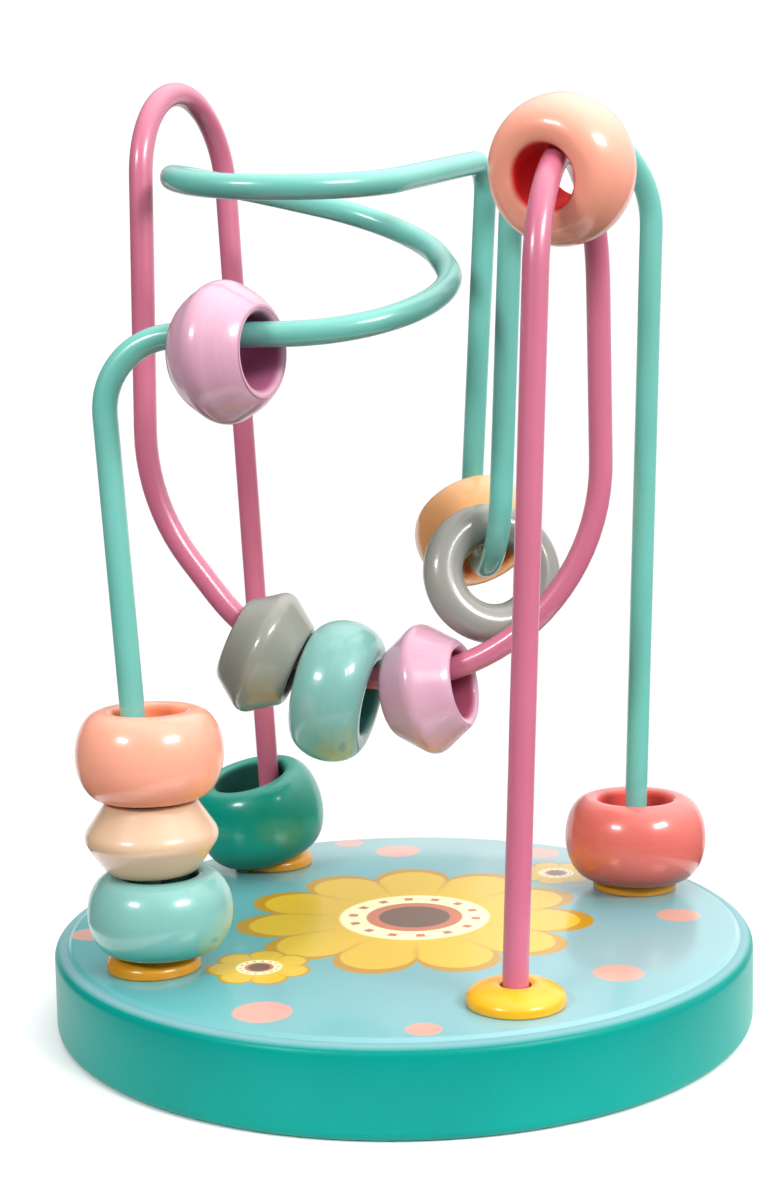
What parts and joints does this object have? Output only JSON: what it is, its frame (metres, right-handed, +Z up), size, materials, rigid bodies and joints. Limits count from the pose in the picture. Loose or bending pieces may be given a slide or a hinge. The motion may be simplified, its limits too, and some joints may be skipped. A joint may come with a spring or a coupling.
{
  "type": "bead maze toy",
  "caption": "Small tabletop bead maze: a round painted board, bent steel wires standing in domed collars, and loose drum, bicone and ring beads that slide along the wires.",
  "frame": {"origin": "centre of the board's flat underside", "axes": "+Z up from the board, -Y towards the viewer of the picture, +X to the right in it"},
  "size_m": [0.09, 0.09, 0.121],
  "materials": {
    "base_board": "glossy paint",
    "printed_face": "glossy printed film",
    "collar": "glossy",
    "wire_pink": "smooth coated",
    "wire_teal": "smooth coated",
    "bead_stack_bottom": "glossy lacquer",
    "bead_stack_middle": "glossy lacquer",
    "bead_stack_top": "glossy lacquer",
    "bead_rear_post": "glossy lacquer",
    "bead_right_post": "glossy lacquer",
    "bead_coil": "glossy lacquer",
    "bead_swing_right": "glossy lacquer",
    "bead_swing_middle": "glossy lacquer",
    "bead_swing_left": "glossy lacquer",
    "bead_arch": "glossy lacquer",
    "bead_dip": "glossy lacquer",
    "ring_dip": "glossy lacquer"
  },
  "bodies": {
    "frame": {"base_board": "base_board", "printed_face": "printed_face", "collar_front": "collar", "collar_right": "collar", "collar_left": "collar", "collar_rear": "collar", "wire_pink": "wire_pink", "wire_teal": "wire_teal"},
    "bead_stack_bottom": {"bead_stack_bottom": "bead_stack_bottom"},
    "bead_stack_middle": {"bead_stack_middle": "bead_stack_middle"},
    "bead_stack_top": {"bead_stack_top": "bead_stack_top"},
    "bead_rear_post": {"bead_rear_post": "bead_rear_post"},
    "bead_right_post": {"bead_right_post": "bead_right_post"},
    "bead_coil": {"bead_coil": "bead_coil"},
    "bead_swing_right": {"bead_swing_right": "bead_swing_right"},
    "bead_swing_middle": {"bead_swing_middle": "bead_swing_middle"},
    "bead_swing_left": {"bead_swing_left": "bead_swing_left"},
    "bead_arch": {"bead_arch": "bead_arch"},
    "bead_dip": {"bead_dip": "bead_dip"},
    "ring_dip": {"ring_dip": "ring_dip"}
  },
  "joints": [
    {"name": "bead_stack_bottom_slide", "type": "slide", "parent": "frame", "child": "bead_stack_bottom", "axis": [-0.0568, 0.0139, 0.9983], "range_m": [0, 0.008]},
    {"name": "bead_stack_middle_slide", "type": "slide", "parent": "bead_stack_bottom", "child": "bead_stack_middle", "axis": [-0.0568, 0.0139, 0.9983], "range_m": [0, 0.01]},
    {"name": "bead_stack_top_slide", "type": "slide", "parent": "bead_stack_middle", "child": "bead_stack_top", "axis": [-0.0568, 0.0139, 0.9983], "range_m": [0, 0.012]},
    {"name": "bead_rear_post_slide", "type": "slide", "parent": "frame", "child": "bead_rear_post", "axis": [-0.0414, -0.0225, 0.9989], "range_m": [0, 0.06]},
    {"name": "bead_right_post_slide", "type": "slide", "parent": "frame", "child": "bead_right_post", "axis": [0.0257, -0.0277, 0.9993], "range_m": [0, 0.07]},
    {"name": "bead_coil_slide", "type": "slide", "parent": "frame", "child": "bead_coil", "axis": [0.9883, -0.1524, -0.0065], "range_m": [0, 0.0045]},
    {"name": "bead_swing_right_swing", "type": "hinge", "parent": "frame", "child": "bead_swing_right", "pos_m": [-0.00139, 0.0008, 0.07047], "axis": [0.1378, 0.9905, 0.0012], "range_deg": [0, 12]},
    {"name": "bead_swing_middle_swing", "type": "hinge", "parent": "bead_swing_right", "child": "bead_swing_middle", "pos_m": [-0.00171, 0.00067, 0.07052], "axis": [0.1388, 0.9903, 0.0075], "range_deg": [0, 12]},
    {"name": "bead_swing_left_swing", "type": "hinge", "parent": "bead_swing_middle", "child": "bead_swing_left", "pos_m": [-0.00171, 0.00067, 0.07052], "axis": [0.1388, 0.9903, 0.0075], "range_deg": [0, 20]},
    {"name": "bead_arch_swing", "type": "hinge", "parent": "frame", "child": "bead_arch", "pos_m": [0.02036, -0.0171, 0.09221], "axis": [-0.9468, 0.3202, 0.0311], "range_deg": [-45, 40]},
    {"name": "ring_dip_swing", "type": "hinge", "parent": "frame", "child": "ring_dip", "pos_m": [0.01218, 0.01006, 0.06672], "axis": [0.9902, 0.1336, -0.042], "range_deg": [0, 10]},
    {"name": "bead_dip_swing", "type": "hinge", "parent": "ring_dip", "child": "bead_dip", "pos_m": [0.01216, 0.01036, 0.06672], "axis": [0.9901, 0.1335, -0.0439], "range_deg": [0, 12]}
  ]
}
